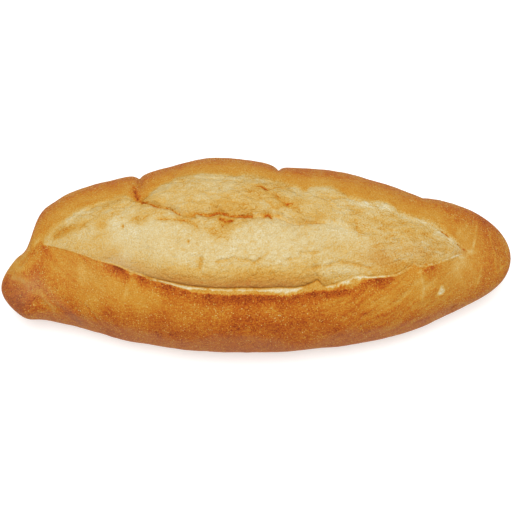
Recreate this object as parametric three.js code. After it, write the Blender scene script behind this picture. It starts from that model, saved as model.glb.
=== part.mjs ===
// A long white loaf whose one slash burst open along the top while it baked.
// Millimetres. X runs along the loaf, the slash's sharp lip looks towards -Y and +Z is up.
// The origin is the middle of the loaf's outer box, on the table it lies on.
import * as THREE from "three";
import { mergeVertices } from "three/addons/utils/BufferGeometryUtils.js";

// Overall form
const LENGTH = 300;
const HALF_LENGTH = LENGTH / 2;
const TIP_BLUNTNESS = { left: 10, right: 7 }; // higher is blunter
const TIP_LIFT = 12; // the tips' undersides stand this far clear of the table
const FLAT_SPAN = 0.5; // share of the half length that lies on the table
const TABLE_CUT = 4; // how far the round underside would sink below the table
const TABLE_EDGE = 3; // softness of the edge between the flat base and the sides
const WAIST_HEIGHT = 0.42; // widest level, as a share of the section's height
const TOP_FULLNESS = 2.2; // section exponents: 2 is an ellipse, more is squarer
const BASE_FULLNESS = 2.5;
const SIDE_MARGIN = 0.98; // lines on the top stay within this share of the half width

// Plan and profile: [place along X, place across Y or height Z]
const FRONT_EDGE = curveThrough([
  [-150, -30], [-139, -34.5], [-122, -34], [-105, -37], [-75, -48], [-40, -57],
  [0, -61.5], [50, -59.5], [85, -53.5], [118, -43], [150, -41.5],
]);
const BACK_EDGE = curveThrough([
  [-150, 8.5], [-141, 14.5], [-134, 18], [-127, 38], [-118, 44.5], [-76, 53.5],
  [-50, 56.5], [-25, 61], [0, 57.5], [18, 53], [50, 47], [78, 38.5], [100, 30], [120, 27], [150, 22.5],
]);
const CROWN = curveThrough([
  [-150, 38], [-130, 46], [-100, 57], [-50, 68], [-15, 71], [30, 69],
  [75, 63], [110, 55], [135, 48], [150, 43],
]);

// The burst slash: its sharp front lip and its soft back rim in plan, and the fold inside it
const BURST_LEFT = -126;
const BURST_RIGHT = 124;
const FRONT_LIP = curveThrough([
  [-126, 4], [-112, -3.5], [-96, -12.5], [-85.5, -19], [-72, -26], [-57, -32.3], [-45, -37], [-35.5, -40.2],
  [-19, -43.3], [-10, -44.8], [14, -45.4], [27, -44], [38, -42], [49, -39], [55, -37.4], [60, -38],
  [69.5, -37.6], [76, -36], [82, -33.7], [92, -31.3], [101.5, -28.5], [109, -25.4], [118, -21.3], [124, -19],
]);
const BACK_RIM = curveThrough([
  [-126, 6.5], [-116, 10.3], [-104, 17], [-99.5, 19.4], [-91.5, 21.4], [-85, 22], [-79, 24.3], [-72, 21.8],
  [-68, 18.2], [-63.5, 17.2], [-60.8, 19.8], [-48, 26], [-41, 28], [-34.5, 32], [-26, 32.2], [-10, 27.8],
  [-2, 28.7], [4, 26.5], [15, 21.7], [28, 16.5], [33.5, 17.6], [42, 17.8], [54, 11], [68, 7.5], [76, 5.8],
  [89, -0.3], [96, -2.4], [103.5, -7], [111, -12.5], [119, -17.5], [124, -18.5],
]);
const CREASE_SHARE = curveThrough([
  [-126, 0.3], [-80, 0.12], [-65, 0.05], [-60, 0.12], [-41, 0.39], [40, 0.4], [124, 0.5],
]); // of the way from rim to lip
const LEAST_BURST = 4; // width that the slash's lines keep where they meet
const FULL_BURST = 35; // width at which the relief has its whole depth
const LEDGE_WIDTH = 2.4; // torn top of the lip
const CREVICE_WIDTH = 1.2;
const MOST_LEDGE = 0.12; // of the burst's width, for the ledge alone and with the crevice
const MOST_CREVICE = 0.2;
const LIP_RISE = 1.6;
const LIP_FLARE = 5; // higher keeps the lip's rise closer to its edge
const LEDGE_DROP = 1.2;
const CREVICE_DEPTH = 2.4;
const CREVICE_SPAN = { from: -75, full: -50, fades: 22, to: 50 }; // the lip stands free between these
const SEAM_DEPTH = 0.4; // elsewhere the lobe meets the lip in a shallow seam
const CREVICE_SHARPNESS = 16; // higher keeps the fall into the crevice closer to it
const LOBE_RISE = 5; // the dough that swelled out between crevice and crease
const LOBE_ENDS = 0.4; // share of that rise where the lip doesn't stand free
const LOBE_SHOULDER = 0.45; // share of the lobe's rise that is left where it meets the crease
const LOBE_ONSET = 1.8; // the lobe has its whole rise at one over this share of its band
const LOBE_FALL = 3; // higher keeps the lobe full for longer before it falls to its foot
const FOOT_RISE = 0.9; // of the lobe's foot, beside the crevice
const BACK_LOBE_RISE = 3.4; // the second roll of dough, behind the crease
const BACK_LOBE_LEAN = 1.6; // above 1 the roll is highest towards the crease
const CREASE_DEPTH = 2.8;
const CREASE_SHARPNESS = 10;
const CREASE_SPAN = { from: -70, full: -54, fades: 10, to: 65 };

// Folds where the back crust was pinched as the loaf swelled
const BACK_FOLDS = [
  { x: -66, lean: 2, depth: 3, width: 3.4, climb: 1 },
  { x: 16, lean: -2, depth: 3, width: 3.4, climb: 0.9 },
  { x: 97, lean: 2, depth: 1.2, width: 4.5, climb: 0.7 },
]; // climb is the share of the way from the back waist to the rim at which a fold ends
const FOLD_START = -0.5; // angles from the back waist, in radians: where the folds begin below it,
const FOLD_FULL = 0.1; // where they are whole,
const FOLD_PIVOT = 0.7; // and where a leaning fold is at its stated place
const FOLD_FADE = 0.4; // share of that way over which a fold ends

// Columns of faces in each band of the section, from the back waist over the top
const BAND_COLUMNS = {
  backCrust: 9, backLobe: 8, lobe: 13, crevice: 1, ledge: 1, frontCrust: 7, underFront: 6, underBack: 6,
};
const STATIONS = 116;
const TIP_CROWDING = 6; // higher keeps the closer stations nearer to the tips

// A smooth function through [place, value] knots, held level beyond the ends.
function curveThrough(knots) {
  const places = knots.map(([place]) => place);
  const values = knots.map(([, value]) => value);
  const interpolant = new THREE.CubicInterpolant(places, values, 1, new Float64Array(1));
  return (place) => interpolant.evaluate(place)[0];
}

// A signed power, for the section's fuller-than-round shape.
function signedPower(base, exponent) {
  return Math.sign(base) * Math.abs(base) ** exponent;
}

// Height above the table: flat at 0 where the round form would pass below, with a soft edge.
function restOnTable(height) {
  if (height > TABLE_EDGE) return height;
  if (height < -TABLE_EDGE) return 0;
  return (height + TABLE_EDGE) ** 2 / (4 * TABLE_EDGE);
}

// 1 well inside a span along X, fading to 0 at its ends.
function within(x, { from, full, fades, to }) {
  return THREE.MathUtils.smoothstep(x, from, full) * (1 - THREE.MathUtils.smoothstep(x, fades, to));
}

// The loaf's cross-section at a place along X: centre, half width and heights.
function sectionAt(x) {
  const share = x / HALF_LENGTH;
  const bluntness = share < 0 ? TIP_BLUNTNESS.left : TIP_BLUNTNESS.right;
  const tip = Math.sqrt(Math.max(0, 1 - Math.abs(share) ** bluntness));
  const front = FRONT_EDGE(x);
  const back = BACK_EDGE(x);
  const rise = Math.max(0, (Math.abs(share) - FLAT_SPAN) / (1 - FLAT_SPAN)) ** 2;
  const base = -TABLE_CUT + (TABLE_CUT + TIP_LIFT) * rise;
  const waist = base + WAIST_HEIGHT * (CROWN(x) - base);
  return {
    centre: (front + back) / 2,
    halfWidth: ((back - front) / 2) * tip,
    waist,
    up: (CROWN(x) - waist) * tip,
    down: (waist - base) * tip,
  };
}

// Angle round the top of a section, 0 at the back waist, where it lies over plan place y.
function angleOver(section, y) {
  const share = THREE.MathUtils.clamp((y - section.centre) / section.halfWidth, -SIDE_MARGIN, SIDE_MARGIN);
  return Math.acos(signedPower(share, TOP_FULLNESS / 2));
}

// The angles of the burst's lines at a place along X, and how deep its relief is there.
function burstAt(x) {
  const place = THREE.MathUtils.clamp(x, BURST_LEFT, BURST_RIGHT);
  const section = sectionAt(place);
  const width = Math.max(LEAST_BURST, BACK_RIM(place) - FRONT_LIP(place));
  const middle = (BACK_RIM(place) + FRONT_LIP(place)) / 2;
  const rim = angleOver(section, middle + width / 2);
  const lip = angleOver(section, middle - width / 2);
  const line = (share) => THREE.MathUtils.lerp(rim, lip, share);
  return {
    rim,
    crease: line(CREASE_SHARE(place)),
    crevice: line(1 - Math.min(MOST_CREVICE, (LEDGE_WIDTH + CREVICE_WIDTH) / width)),
    ledge: line(1 - Math.min(MOST_LEDGE, LEDGE_WIDTH / width)),
    lip,
    relief: THREE.MathUtils.smoothstep(width, LEAST_BURST, FULL_BURST),
    creased: within(x, CREASE_SPAN),
    parted: within(x, CREVICE_SPAN),
  };
}

// Depth of the pinched folds at a place along X and an angle round the back.
function foldDepth(x, angle, rim) {
  const above = angle > 1.5 * Math.PI ? angle - 2 * Math.PI : angle;
  const begun = THREE.MathUtils.smoothstep(above, FOLD_START, FOLD_FULL);
  return BACK_FOLDS.reduce((depth, fold) => {
    const middle = fold.x + fold.lean * (above - FOLD_PIVOT);
    const ended = THREE.MathUtils.smoothstep(above / rim, fold.climb - FOLD_FADE, fold.climb);
    return depth + fold.depth * begun * (1 - ended) * Math.exp(-(((x - middle) / fold.width) ** 2));
  }, 0);
}

// Bands of the section from the back waist over the top: end angle, and relief along the band.
function bandsAt(x) {
  const burst = burstAt(x);
  const { lerp } = THREE.MathUtils;
  const { relief, creased, parted } = burst;
  const lobe = LOBE_RISE * lerp(LOBE_ENDS, 1, parted) * relief;
  const shoulder = LOBE_SHOULDER * lobe;
  const creaseFloor = shoulder - CREASE_DEPTH * creased * relief;
  const foot = FOOT_RISE * relief;
  const crevice = foot - lerp(SEAM_DEPTH, CREVICE_DEPTH, parted) * relief;
  const ledge = (LIP_RISE - LEDGE_DROP) * relief;
  const lip = LIP_RISE * relief;
  const backLobe = BACK_LOBE_RISE * creased * relief;
  return [
    { columns: BAND_COLUMNS.backCrust, end: burst.rim, raise: () => 0 },
    {
      columns: BAND_COLUMNS.backLobe,
      end: burst.crease,
      raise: (f) => creaseFloor * f ** 2 + backLobe * Math.sin(Math.PI * f ** BACK_LOBE_LEAN),
    },
    {
      columns: BAND_COLUMNS.lobe,
      end: burst.crevice,
      raise: (f) => {
        const swell = lerp(shoulder, lobe, Math.sin((Math.PI / 2) * Math.min(1, LOBE_ONSET * f)));
        const towardsCrease = (creaseFloor - shoulder) * (1 - f) ** CREASE_SHARPNESS;
        const towardsFoot = (foot - lobe) * f ** LOBE_FALL;
        return swell + towardsCrease + towardsFoot + (crevice - foot) * f ** CREVICE_SHARPNESS;
      },
    },
    { columns: BAND_COLUMNS.crevice, end: burst.ledge, raise: (f) => lerp(crevice, ledge, f) },
    { columns: BAND_COLUMNS.ledge, end: burst.lip, raise: (f) => lerp(ledge, lip, f) },
    { columns: BAND_COLUMNS.frontCrust, end: Math.PI, raise: (f) => lip * (1 - f) ** LIP_FLARE },
    { columns: BAND_COLUMNS.underFront, end: 1.5 * Math.PI, raise: () => 0 },
    { columns: BAND_COLUMNS.underBack, end: 2 * Math.PI, raise: () => 0 },
  ];
}

// Every point of one cross-section, from the back waist over the top and round underneath.
function ringAt(x) {
  const section = sectionAt(x);
  const ring = [];
  let start = 0;
  const { rim } = burstAt(x);
  for (const { columns, end, raise } of bandsAt(x)) {
    for (let column = 0; column < columns; column++) {
      const share = column / columns;
      const angle = THREE.MathUtils.lerp(start, end, share);
      ring.push(pointAt(x, section, angle, raise(share) - foldDepth(x, angle, rim)));
    }
    start = end;
  }
  ring.push(ring[0]);
  return ring;
}

// A point of the section at an angle, moved outwards from the section's middle by its relief.
function pointAt(x, section, angle, relief) {
  const upper = Math.sin(angle) >= 0;
  const exponent = 2 / (upper ? TOP_FULLNESS : BASE_FULLNESS);
  const across = section.halfWidth * signedPower(Math.cos(angle), exponent);
  const height = (upper ? section.up : section.down) * signedPower(Math.sin(angle), exponent);
  const radius = Math.hypot(across, height);
  const grow = radius > 0 ? 1 + (relief * Math.min(1, radius / FULL_BURST)) / radius : 0;
  return [x, section.centre + across * grow, restOnTable(section.waist + height * grow)];
}

// Place along X of a station, from 0 at the right tip to 1 at the left one.
function stationPlace(share) {
  const even = 1 - 2 * share;
  return HALF_LENGTH * THREE.MathUtils.lerp(even, Math.sin((Math.PI / 2) * even), even ** TIP_CROWDING);
}

// A sphere's grid with its poles at the tips, each row of it moved to a cross-section of the loaf.
function loafGeometry() {
  const columns = Object.values(BAND_COLUMNS).reduce((sum, count) => sum + count);
  const geometry = new THREE.SphereGeometry(1, columns, STATIONS);
  const { position } = geometry.attributes;
  for (let row = 0; row <= STATIONS; row++) {
    ringAt(stationPlace(row / STATIONS)).forEach((point, column) => {
      position.setXYZ(row * (columns + 1) + column, ...point);
    });
  }
  geometry.deleteAttribute("normal");
  geometry.deleteAttribute("uv");
  const closed = mergeVertices(geometry);
  closed.computeBoundingBox();
  const middle = closed.boundingBox.getCenter(new THREE.Vector3());
  closed.translate(-middle.x, -middle.y, 0);
  closed.computeVertexNormals();
  return closed;
}

const crust = new THREE.MeshStandardMaterial({ color: "#cb8f40", roughness: 0.62, metalness: 0 });
const loaf = new THREE.Mesh(loafGeometry(), crust);
loaf.name = "loaf";

const part = new THREE.Group();
part.add(loaf);

export default part;
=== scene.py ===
"""Dresses the split-top crusty loaf with its baked surface.

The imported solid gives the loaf's place and size. One fine mesh stands for it: the mesh follows the
solid's own law, section by section, and adds what is finer than the solid's faces, such as the torn
lip, the creased crumb of the burst and the stretched crust. The form is worked out in millimetres and
handed to Blender in metres.
"""

import logging
import math
from dataclasses import dataclass, field
from enum import Enum, auto

import bpy
import numpy as np
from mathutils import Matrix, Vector


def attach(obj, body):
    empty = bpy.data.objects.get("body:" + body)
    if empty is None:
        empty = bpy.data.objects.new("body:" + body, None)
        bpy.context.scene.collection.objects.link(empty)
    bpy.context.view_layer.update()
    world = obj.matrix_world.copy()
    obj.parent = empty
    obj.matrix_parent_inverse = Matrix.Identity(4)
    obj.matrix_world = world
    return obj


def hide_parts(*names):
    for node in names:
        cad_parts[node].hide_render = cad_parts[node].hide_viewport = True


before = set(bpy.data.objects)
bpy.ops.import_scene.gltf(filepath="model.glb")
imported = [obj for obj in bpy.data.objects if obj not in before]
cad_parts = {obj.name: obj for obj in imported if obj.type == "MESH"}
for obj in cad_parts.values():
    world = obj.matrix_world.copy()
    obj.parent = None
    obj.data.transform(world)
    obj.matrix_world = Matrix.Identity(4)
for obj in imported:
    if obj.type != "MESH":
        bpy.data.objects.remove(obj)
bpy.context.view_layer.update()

log = logging.getLogger("loaf")
Array = np.ndarray
Node = bpy.types.Node
Socket = bpy.types.NodeSocket
Tree = bpy.types.NodeTree
MM = 0.001
TINY = 1e-6
SEED = 11
WHITE = "FFFFFF"


def linear(hex_colour: str) -> tuple[float, float, float, float]:
    """Turns an sRGB hex colour into linear light.

    Args:
        hex_colour: Six hex digits.

    Returns:
        Red, green, blue and an alpha of 1.
    """
    channels = [int(hex_colour[i:i + 2], 16) / 255 for i in (0, 2, 4)]
    red, green, blue = [c / 12.92 if c <= 0.04045 else ((c + 0.055) / 1.055) ** 2.4 for c in channels]
    return red, green, blue, 1.0


def smooth(low: float, high: float, value: Array) -> Array:
    """Rises smoothly from 0 at low to 1 at high.

    Args:
        low: Value at and before which the result is 0.
        high: Value at and after which the result is 1.
        value: Values to read.

    Returns:
        The share for each value.
    """
    t = np.clip((value - low) / (high - low), 0, 1)
    return t * t * (3 - 2 * t)


def bell(distance: Array, half_width: float) -> Array:
    """Falls from 1 at no distance to almost 0 at twice the half width."""
    return np.exp(-(distance / half_width) ** 2)


def mix(first: Array, second: Array, share: Array) -> Array:
    """Goes from the first value to the second by a share from 0 to 1."""
    return first + (second - first) * share


def signed_power(base: Array, exponent: Array | float) -> Array:
    """Raises to a power and keeps the sign."""
    return np.sign(base) * np.abs(base) ** exponent


def pattern_scale(size_mm: float) -> float:
    """Turns the size of a pattern's features in millimetres into a scale in features per metre."""
    return 1 / (size_mm * MM)


def add_node(tree: Tree, kind: str, settings: dict | None = None, inputs: dict | None = None) -> Node:
    """Adds a shader node with its settings, and fills or links its inputs.

    Args:
        tree: The node tree to add to.
        kind: Blender's name for the kind of node, without the prefix that all shader nodes share.
        settings: The node's own properties by name.
        inputs: Values for its inputs by name or number, or what to link to them: an output socket, or a
            node for its first output.

    Returns:
        The node.
    """
    node = tree.nodes.new("ShaderNode" + kind)
    for name, value in (settings or {}).items():
        setattr(node, name, value)
    for name, value in (inputs or {}).items():
        source = value.outputs[0] if isinstance(value, Node) else value
        if isinstance(source, Socket):
            tree.links.new(source, node.inputs[name])
        else:
            node.inputs[name].default_value = source
    return node


@dataclass(frozen=True)
class Curve:
    """A smooth line through (place, value) knots, held level beyond its ends."""

    knots: tuple[tuple[float, float], ...]

    def __call__(self, place: Array) -> Array:
        """Reads the curve.

        Args:
            place: Places along the loaf, in millimetres.

        Returns:
            The curve's value at each place.
        """
        at, value = np.array(self.knots, float).T
        secant = np.diff(value) / np.diff(at)
        slope = np.concatenate([secant[:1], (secant[:-1] + secant[1:]) / 2, secant[-1:]])
        place = np.clip(place, at[0], at[-1])
        left = np.clip(np.searchsorted(at, place) - 1, 0, len(at) - 2)
        right = left + 1
        step = at[right] - at[left]
        t = (place - at[left]) / step
        start = (value[left] * (1 + 2 * t) + slope[left] * step * t) * (1 - t) ** 2
        end = (value[right] * (3 - 2 * t) + slope[right] * step * (t - 1)) * t ** 2
        return start + end


@dataclass(frozen=True)
class Span:
    """A stretch along the loaf that a feature fades into and out of, in millimetres."""

    start: float
    full: float
    fades: float
    end: float

    def strength(self, x: Array) -> Array:
        """Gives 1 well inside the span and 0 outside it."""
        return smooth(self.start, self.full, x) * (1 - smooth(self.fades, self.end, x))


@dataclass(frozen=True)
class Onset:
    """A smooth rise from 0 at a low value to 1 at a high one."""

    low: float
    high: float

    def __call__(self, value: Array) -> Array:
        """Gives the share of the rise at each value."""
        return smooth(self.low, self.high, value)


class Grain:
    """A seeded random field over millimetre points, smooth and between about -1 and 1."""

    CELLS = 256
    SPREAD = 1.6
    LAYER_SHIFT = 31.7

    def __init__(self, seed: int) -> None:
        """Draws the field's random directions.

        Args:
            seed: The seed, which always gives the same field.
        """
        draw = np.random.default_rng(seed)
        self.order = np.concatenate([draw.permutation(self.CELLS)] * 2)
        direction = draw.normal(size=(self.CELLS, 3))
        self.direction = direction / np.linalg.norm(direction, axis=1)[:, None]

    def at(self, points: Array, size: float) -> Array:
        """Reads the field.

        Args:
            points: Points in millimetres, three numbers each along the last axis.
            size: Size of the field's lumps in millimetres.

        Returns:
            One value for each point.
        """
        scaled = points / size
        corner = np.floor(scaled)
        inside = scaled - corner
        cell = corner.astype(int) % self.CELLS
        fade = inside ** 3 * (inside * (inside * 6 - 15) + 10)
        total = np.zeros(points.shape[:-1])
        for step in np.ndindex(2, 2, 2):
            key = (cell + step) % self.CELLS
            pick = self.order[self.order[self.order[key[..., 0]] + key[..., 1]] + key[..., 2]]
            slope = ((inside - step) * self.direction[pick]).sum(axis=-1)
            total += slope * np.where(step, fade, 1 - fade).prod(axis=-1)
        return total * self.SPREAD

    def layered(self, points: Array, size: float, layers: int = 3) -> Array:
        """Adds up ever finer and weaker layers of the field.

        Args:
            points: Points in millimetres.
            size: Size of the coarsest layer's lumps in millimetres.
            layers: Number of layers, each half as coarse as the one before.

        Returns:
            One value for each point.
        """
        shift = self.LAYER_SHIFT
        return sum(self.at(points + shift * i, size / 2 ** i) / 2 ** i for i in range(layers))


@dataclass(frozen=True)
class Patches:
    """One kind of random unevenness: its strength, and the size of its coarsest lumps in millimetres.

    The shift picks a part of the random field, so that no two kinds look alike. A stretch below 1 draws
    the lumps out along the loaf.
    """

    strength: float
    size: float
    shift: float | tuple[float, float, float] = 0
    layers: int = 3
    stretch: float = 1

    def over(self, points: Array, grain: Grain) -> Array:
        """Gives the unevenness at each point."""
        places = points * (self.stretch, 1, 1) + self.shift
        return self.strength * grain.layered(places, self.size, self.layers)


class Band(Enum):
    """Strips of the surface, in order from the back waist over the top and round underneath."""

    BACK_CRUST = auto()
    BACK_LOBE = auto()
    LOBE = auto()
    CREVICE = auto()
    LEDGE = auto()
    FRONT_CRUST = auto()
    UNDER_FRONT = auto()
    UNDER_BACK = auto()


@dataclass(frozen=True)
class Section:
    """Cross-sections of the loaf: centre, half width and heights, in millimetres."""

    centre: Array
    half_width: Array
    waist: Array
    up: Array
    down: Array


@dataclass(frozen=True)
class BurstLines:
    """The burst's lines in radians from the back waist, its width, and how strongly its forms show."""

    rim: Array
    crease: Array
    crevice: Array
    ledge: Array
    lip: Array
    width: Array
    relief: Array
    creased: Array
    parted: Array


@dataclass(frozen=True)
class LoafForm:
    """The loaf's smooth form, in millimetres: the solid's sizes, with the burst's lines drawn finer."""

    half_length: float = 150
    bluntness_left: float = 10
    bluntness_right: float = 7
    tip_lift: float = 12
    flat_span: float = 0.5
    table_cut: float = 4
    table_edge: float = 3
    waist_height: float = 0.42
    top_fullness: float = 2.2
    base_fullness: float = 2.5
    side_margin: float = 0.98
    front_edge: Curve = Curve((
        (-150, -30), (-139, -34.5), (-122, -34), (-105, -37), (-75, -48), (-40, -57),
        (0, -61.5), (50, -59.5), (85, -53.5), (118, -43), (150, -41.5),
    ))
    back_edge: Curve = Curve((
        (-150, 8.5), (-141, 14.5), (-134, 18), (-127, 38), (-118, 44.5), (-76, 53.5), (-50, 56.5),
        (-25, 61), (0, 57.5), (18, 53), (50, 47), (78, 38.5), (100, 30), (120, 27), (150, 22.5),
    ))
    crown: Curve = Curve((
        (-150, 38), (-130, 46), (-100, 57), (-50, 68), (-15, 71), (30, 69),
        (75, 63), (110, 55), (135, 48), (150, 43),
    ))
    burst_left: float = -126
    burst_right: float = 124
    front_lip: Curve = Curve((
        (-126, 4), (-112, -3.5), (-96, -12.5), (-91.5, -15.2), (-85, -18.3), (-78.6, -21.3),
        (-73, -24.8), (-66, -28.3), (-59.4, -31.7), (-50.3, -35.2), (-45, -37.2), (-35.5, -40.2),
        (-28, -41.5), (-22.5, -42.2), (-18, -43.1), (-11, -43.5), (-4, -44), (1, -44.4), (6, -44.8),
        (12, -45.3), (18, -45.3), (22, -44.3), (27, -43.9), (36, -43.7), (43, -43.4), (48, -42.8),
        (51, -42.2), (53.5, -41), (56.3, -39.2), (60, -38.6), (69.5, -37.6), (76, -36.5), (82, -33.7),
        (92, -31.3), (101.5, -28.5), (109, -25.4), (118, -21.3), (124, -19),
    ))
    back_rim: Curve = Curve((
        (-126, 6.5), (-116, 10.3), (-104, 17), (-99.5, 19.4), (-91.5, 21.4), (-85, 22), (-79, 24.3),
        (-72, 21.8), (-68, 18.2), (-63.5, 16.6), (-60.8, 19.4), (-57.8, 23.4), (-51, 28), (-43, 31.8),
        (-34.5, 33.4), (-26, 32.8), (-18, 32), (-9, 29.8), (-3.8, 30.4), (4.5, 28.2), (12, 25),
        (18.8, 22), (24.8, 17.6), (28.5, 15.2), (33.5, 18), (42, 18.5), (48, 16), (55, 11.2),
        (62.4, 9.1), (70, 8.7), (75.5, 7.6), (80.2, 4.2), (86, 0.6), (95, -1.2), (100, -3.7),
        (107.5, -8.8), (114.5, -15.2), (119, -18), (124, -18.6),
    ))
    crease_share: Curve = Curve((
        (-126, 0.3), (-80, 0.12), (-65, 0.05), (-60, 0.12), (-41, 0.39), (40, 0.4), (124, 0.5),
    ))
    least_burst: float = 4
    full_burst: float = 35
    ledge_width: Curve = Curve((
        (-126, 0.2), (-60, 0.2), (-50, 0.5), (-42, 0.9), (-37.5, 1.4), (-30, 1.7), (-22.5, 1.6),
        (-14.3, 1.8), (-6.8, 1.5), (0.8, 1.5), (8.3, 2.6), (16.5, 2.8), (24, 1.8), (26, 2.6),
        (28.5, 3.4), (30.8, 4.8), (32.5, 3.4), (34, 1.4), (37.5, 1.6), (42, 2.6), (44.3, 3.6),
        (48, 4.4), (52, 4.8), (54, 3.8), (55.6, 2.4), (60, 0.8), (67, 0.8), (72, 0.6), (84, 0.9),
        (95, 0.9), (112, 1), (124, 0.5),
    ))
    crevice_width: Curve = Curve((
        (-126, 0.7), (-60, 0.8), (-36, 1), (-24, 1.2), (-14, 1.5), (4, 1.5), (10, 1.2), (22, 1),
        (124, 0.8),
    ))
    most_ledge: float = 0.13
    most_crevice: float = 0.2
    least_crease: float = 0.03
    crease_takeover: float = 2
    crease_span: Span = Span(-70, -54, 10, 65)
    crevice_span: Span = Span(-75, -50, 22, 50)

    def section(self, x: Array) -> Section:
        """Works out the cross-sections.

        Args:
            x: Places along the loaf.

        Returns:
            The section at each place.
        """
        share = x / self.half_length
        bluntness = np.where(share < 0, self.bluntness_left, self.bluntness_right)
        tip = np.sqrt(np.maximum(0, 1 - np.abs(share) ** bluntness))
        front, back, crown = self.front_edge(x), self.back_edge(x), self.crown(x)
        rise = np.maximum(0, (np.abs(share) - self.flat_span) / (1 - self.flat_span)) ** 2
        base = -self.table_cut + (self.table_cut + self.tip_lift) * rise
        waist = base + self.waist_height * (crown - base)
        return Section(
            centre=(front + back) / 2, half_width=(back - front) / 2 * tip, waist=waist,
            up=(crown - waist) * tip, down=(waist - base) * tip,
        )

    def angle_over(self, section: Section, y: Array) -> Array:
        """Finds the angles at which the tops of sections lie over places across the loaf."""
        share = np.clip((y - section.centre) / section.half_width, -self.side_margin, self.side_margin)
        return np.arccos(signed_power(share, self.top_fullness / 2))

    def burst(self, x: Array, lip_shift: Array, lip_jag: Array, crease_turn: Array) -> BurstLines:
        """Works out the lines of the burst slash.

        Args:
            x: Places along the loaf.
            lip_shift: How far lip and crevice stray from their smooth line, towards the back.
            lip_jag: How far the lip's torn edge strays from the line, as a share of the ledge's width.
            crease_turn: Where the torn crease runs, in degrees from the back waist.

        Returns:
            The lines at each place.
        """
        place = np.clip(x, self.burst_left, self.burst_right)
        section = self.section(place)
        rim_y, lip_y = self.back_rim(place), self.front_lip(place) + lip_shift
        width = np.maximum(self.least_burst, rim_y - lip_y)
        middle = (rim_y + lip_y) / 2
        rim = self.angle_over(section, middle + width / 2)
        lip = self.angle_over(section, middle - width / 2)
        relief = smooth(self.least_burst, self.full_burst, width)
        creased, parted = self.crease_span.strength(x), self.crevice_span.strength(x)
        across = lip - rim
        even_crease = rim + across * self.crease_share(place)
        takeover = np.minimum(1, self.crease_takeover * creased)
        crease = mix(even_crease, np.radians(crease_turn), takeover)
        ledge_width = self.ledge_width(place)
        ledge_share = np.minimum(self.most_ledge, ledge_width / width)
        crevice_width = ledge_width + self.crevice_width(place)
        crevice_share = np.minimum(self.most_crevice, crevice_width / width)
        return BurstLines(
            rim=rim, crease=np.maximum(crease, rim + self.least_crease * across),
            crevice=lip - across * crevice_share, ledge=lip - across * ledge_share,
            lip=lip + across * ledge_share * lip_jag, width=width, relief=relief, creased=creased,
            parted=parted,
        )

    def points(self, x: Array, angle: Array, relief: Array | float) -> Array:
        """Places points on the form, moved outwards from the middle of their section by a relief.

        Args:
            x: Places along the loaf, one a row.
            angle: Angles from the back waist, by row and column.
            relief: Relief in millimetres, by row and column.

        Returns:
            Points in millimetres.
        """
        section = self.section(x)
        upper = np.sin(angle) >= 0
        exponent = np.where(upper, 2 / self.top_fullness, 2 / self.base_fullness)
        across = section.half_width * signed_power(np.cos(angle), exponent)
        height = np.where(upper, section.up, section.down) * signed_power(np.sin(angle), exponent)
        radius = np.maximum(np.hypot(across, height), TINY)
        grow = 1 + relief * np.minimum(1, radius / self.full_burst) / radius
        lifted = self.rest_on_table(section.waist + height * grow)
        along = np.broadcast_to(x, angle.shape)
        return np.stack([along, section.centre + across * grow, lifted], axis=-1)

    def rest_on_table(self, height: Array) -> Array:
        """Flattens what would pass below the table, with a soft edge.

        Args:
            height: Heights over the table.

        Returns:
            Heights of at least zero.
        """
        edge = self.table_edge
        soft = (height + edge) ** 2 / (4 * edge)
        return np.where(height > edge, height, np.where(height < -edge, 0, soft))


@dataclass(frozen=True)
class Surface:
    """The smooth surface as a grid: a row for each station along the loaf, a column for each angle.

    Distances over the surface are in millimetres, measured round the section.
    """

    x: Array
    angle: Array
    share: Array
    band: list[Band]
    lines: BurstLines
    points: Array
    radius: Array
    grain: Grain

    def uneven(self, patches: Patches) -> Array:
        """Gives one kind of unevenness at each point."""
        return patches.over(self.points, self.grain)

    def on(self, *bands: Band) -> Array:
        """Tells which columns lie on any of the given bands."""
        return np.array([band in bands for band in self.band])

    @property
    def turn(self) -> Array:
        """Degrees from the back waist over the top, below zero under the back."""
        return np.degrees(np.where(self.angle > 1.5 * math.pi, self.angle - 2 * math.pi, self.angle))

    @property
    def below_lip(self) -> Array:
        """Distance down the front from the lip."""
        return (self.angle - self.lines.lip) * self.radius

    @property
    def inside_rim(self) -> Array:
        """Distance towards the front from the rim."""
        return (self.angle - self.lines.rim) * self.radius

    @property
    def above_crevice(self) -> Array:
        """Distance towards the back from the crevice."""
        return (self.lines.crevice - self.angle) * self.radius

    @property
    def above_crease(self) -> Array:
        """Distance towards the back from the crease."""
        return (self.lines.crease - self.angle) * self.radius

    @property
    def across(self) -> Array:
        """Share of the way from the rim to the lip."""
        return (self.angle - self.lines.rim) / (self.lines.lip - self.lines.rim)


@dataclass(frozen=True)
class Fold:
    """A place where the back crust was pinched as the loaf swelled.

    The fold leans along the loaf as it climbs, and ends at a share of the way from the back waist to the
    rim.
    """

    x: float
    lean: float
    depth: float
    width: float
    climb: float
    start: float = -0.5
    full: float = 0.1
    pivot: float = 0.7
    fade: float = 0.4

    def sink(self, surface: Surface) -> Array:
        """Works out the fold.

        Args:
            surface: The surface that it sinks into.

        Returns:
            The fold's depth at each point.
        """
        above = np.radians(surface.turn)
        away = np.abs(surface.x - self.x - self.lean * (above - self.pivot))
        begun = smooth(self.start, self.full, above)
        ended = smooth(self.climb - self.fade, self.climb, above / surface.lines.rim)
        return self.depth * begun * (1 - ended) * np.exp(-away / self.width)


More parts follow.
